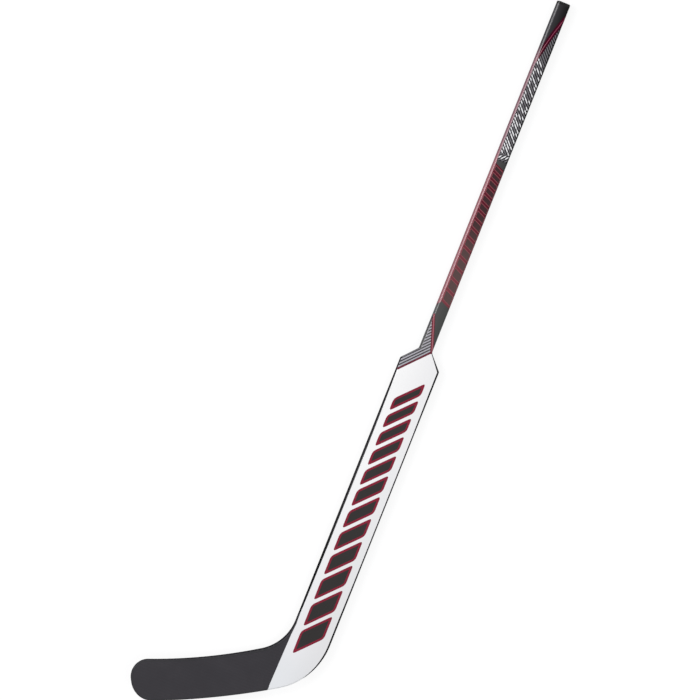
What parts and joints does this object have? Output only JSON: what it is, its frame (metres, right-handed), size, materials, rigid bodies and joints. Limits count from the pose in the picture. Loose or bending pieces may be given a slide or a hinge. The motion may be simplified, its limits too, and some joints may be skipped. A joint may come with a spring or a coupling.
{
  "type": "hockey goalie stick",
  "caption": "Ice hockey goalie stick: rectangular hollow shaft, sloping shoulders, wide white paddle with dark edge strips and a curved dark blade, lying on its back.",
  "frame": {"origin": "on the shaft's centre line at the level of the heel corner, in the flat back face on which the stick lies", "axes": "+X up the stick from heel to butt end, +Y across the paddle towards the blade's toe, +Z out of the front (forehand) face"},
  "size_m": [1.6635, 0.3708, 0.0564],
  "materials": {
    "shaft_laminate": "dark carbon laminate under a satin clear coat",
    "end_plug": "moulded black plastic",
    "paddle_laminate": "white lacquer under a clear coat",
    "edge_strip": "satin black",
    "blade_laminate": "charcoal, fine grained",
    "blade_rim": "satin black",
    "heel_insert": "white, wear resistant",
    "foam": "closed-cell foam",
    "web_laminate": "bare laminate",
    "joiner_wood": "laminated hardwood"
  },
  "bodies": {
    "root": {"shaft_tube": "shaft_laminate", "butt_plug": "end_plug", "shaft_damper": "foam", "neck_tenon": "joiner_wood", "paddle_front_skin": "paddle_laminate", "paddle_back_skin": "paddle_laminate", "paddle_edge_toe_side": "edge_strip", "paddle_edge_heel_side": "edge_strip", "paddle_rib_toe_side": "web_laminate", "paddle_rib_heel_side": "web_laminate", "paddle_foam_toe_side": "foam", "paddle_foam_middle": "foam", "paddle_foam_heel_side": "foam", "heel_block": "heel_insert", "blade_front_skin": "blade_laminate", "blade_back_skin": "blade_laminate", "blade_edge": "blade_rim", "blade_rib": "web_laminate", "blade_foam_upper": "foam", "blade_foam_lower": "foam"}
  },
  "joints": []
}
